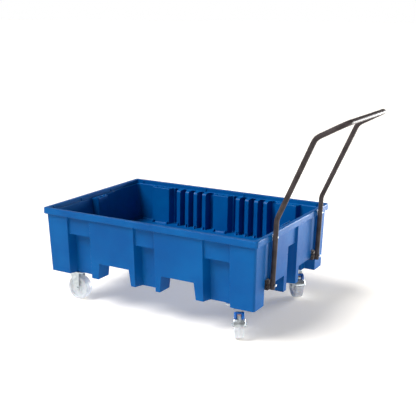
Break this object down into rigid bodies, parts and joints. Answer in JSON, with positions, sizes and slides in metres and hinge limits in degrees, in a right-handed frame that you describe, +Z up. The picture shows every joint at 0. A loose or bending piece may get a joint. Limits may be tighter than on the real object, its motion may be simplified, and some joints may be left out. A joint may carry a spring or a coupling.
{
  "type": "drum dolly",
  "caption": "Moulded polyethylene sump trolley for drums, with raised feet and fork openings, fixed and braked swivel castors and a bent tube push handle.",
  "frame": {"origin": "on the floor under the centre of the overall length (grip to far rim) and width", "axes": "+X from the tub towards the push handle, +Y across the tub away from the front wall, +Z up"},
  "size_m": [1.5559, 0.82, 1.0239],
  "materials": {
    "blue_polyethylene": "moulded, satin",
    "blue_nylon": "moulded, satin gloss",
    "anthracite_powder_coat": "fine powder coat, warm anthracite",
    "zinc_plated_steel": "bright zinc plate",
    "white_nylon": "turned nylon, satin"
  },
  "bodies": {
    "trolley": {"back_left_axle_bolt": "zinc_plated_steel", "back_left_axle_nut": "zinc_plated_steel", "back_left_axle_sleeve": "zinc_plated_steel", "back_left_fixed_fork": "zinc_plated_steel", "back_left_plate_bolt_1": "zinc_plated_steel", "back_left_plate_bolt_2": "zinc_plated_steel", "back_left_plate_bolt_3": "zinc_plated_steel", "back_left_plate_bolt_4": "zinc_plated_steel", "back_right_ball_race": "zinc_plated_steel", "back_right_kingpin": "zinc_plated_steel", "back_right_plate_bolt_1": "zinc_plated_steel", "back_right_plate_bolt_2": "zinc_plated_steel", "back_right_plate_bolt_3": "zinc_plated_steel", "back_right_plate_bolt_4": "zinc_plated_steel", "back_right_top_plate": "zinc_plated_steel", "front_left_axle_bolt": "zinc_plated_steel", "front_left_axle_nut": "zinc_plated_steel", "front_left_axle_sleeve": "zinc_plated_steel", "front_left_fixed_fork": "zinc_plated_steel", "front_left_plate_bolt_1": "zinc_plated_steel", "front_left_plate_bolt_2": "zinc_plated_steel", "front_left_plate_bolt_3": "zinc_plated_steel", "front_left_plate_bolt_4": "zinc_plated_steel", "front_right_ball_race": "zinc_plated_steel", "front_right_kingpin": "zinc_plated_steel", "front_right_plate_bolt_1": "zinc_plated_steel", "front_right_plate_bolt_2": "zinc_plated_steel", "front_right_plate_bolt_3": "zinc_plated_steel", "front_right_plate_bolt_4": "zinc_plated_steel", "front_right_top_plate": "zinc_plated_steel", "handle_foot_bolt_back": "zinc_plated_steel", "handle_foot_bolt_front": "zinc_plated_steel", "handle_foot_bracket_back": "anthracite_powder_coat", "handle_foot_bracket_front": "anthracite_powder_coat", "handle_rim_bolt_back": "zinc_plated_steel", "handle_rim_bolt_front": "zinc_plated_steel", "push_handle": "anthracite_powder_coat", "sump_tub": "blue_polyethylene"},
    "back_left_wheel": {"back_left_wheel": "white_nylon"},
    "back_right_swivel": {"back_right_axle_bolt": "zinc_plated_steel", "back_right_axle_nut": "zinc_plated_steel", "back_right_axle_sleeve": "zinc_plated_steel", "back_right_swivel_fork": "zinc_plated_steel"},
    "back_right_brake": {"back_right_brake_lever": "zinc_plated_steel", "back_right_brake_pedal": "blue_nylon"},
    "back_right_wheel": {"back_right_wheel": "white_nylon"},
    "front_left_wheel": {"front_left_wheel": "white_nylon"},
    "front_right_swivel": {"front_right_axle_bolt": "zinc_plated_steel", "front_right_axle_nut": "zinc_plated_steel", "front_right_axle_sleeve": "zinc_plated_steel", "front_right_swivel_fork": "zinc_plated_steel"},
    "front_right_brake": {"front_right_brake_lever": "zinc_plated_steel", "front_right_brake_pedal": "blue_nylon"},
    "front_right_wheel": {"front_right_wheel": "white_nylon"}
  },
  "joints": [
    {"name": "front_left_wheel_spin", "type": "hinge", "parent": "trolley", "child": "front_left_wheel", "pos_m": [-0.63925, -0.3075, 0.0625], "axis": [0, 1, 0], "continuous": true},
    {"name": "front_right_swivel_turn", "type": "hinge", "parent": "trolley", "child": "front_right_swivel", "pos_m": [0.30275, -0.3075, 0.14], "axis": [0, 0, 1], "continuous": true},
    {"name": "front_right_wheel_spin", "type": "hinge", "parent": "front_right_swivel", "child": "front_right_wheel", "pos_m": [0.31971, -0.33926, 0.0625], "axis": [0.8821, 0.471, 0], "continuous": true},
    {"name": "front_right_brake_press", "type": "hinge", "parent": "front_right_swivel", "child": "front_right_brake", "pos_m": [0.31971, -0.33926, 0.0625], "axis": [0.8821, 0.471, 0], "range_deg": [0, 14]},
    {"name": "back_left_wheel_spin", "type": "hinge", "parent": "trolley", "child": "back_left_wheel", "pos_m": [-0.63925, 0.3075, 0.0625], "axis": [0, 1, 0], "continuous": true},
    {"name": "back_right_swivel_turn", "type": "hinge", "parent": "trolley", "child": "back_right_swivel", "pos_m": [0.30275, 0.3075, 0.14], "axis": [0, 0, 1], "continuous": true},
    {"name": "back_right_wheel_spin", "type": "hinge", "parent": "back_right_swivel", "child": "back_right_wheel", "pos_m": [0.3273, 0.28117, 0.0625], "axis": [0.7314, 0.682, 0], "continuous": true},
    {"name": "back_right_brake_press", "type": "hinge", "parent": "back_right_swivel", "child": "back_right_brake", "pos_m": [0.3273, 0.28117, 0.0625], "axis": [0.7314, 0.682, 0], "range_deg": [0, 14]}
  ]
}
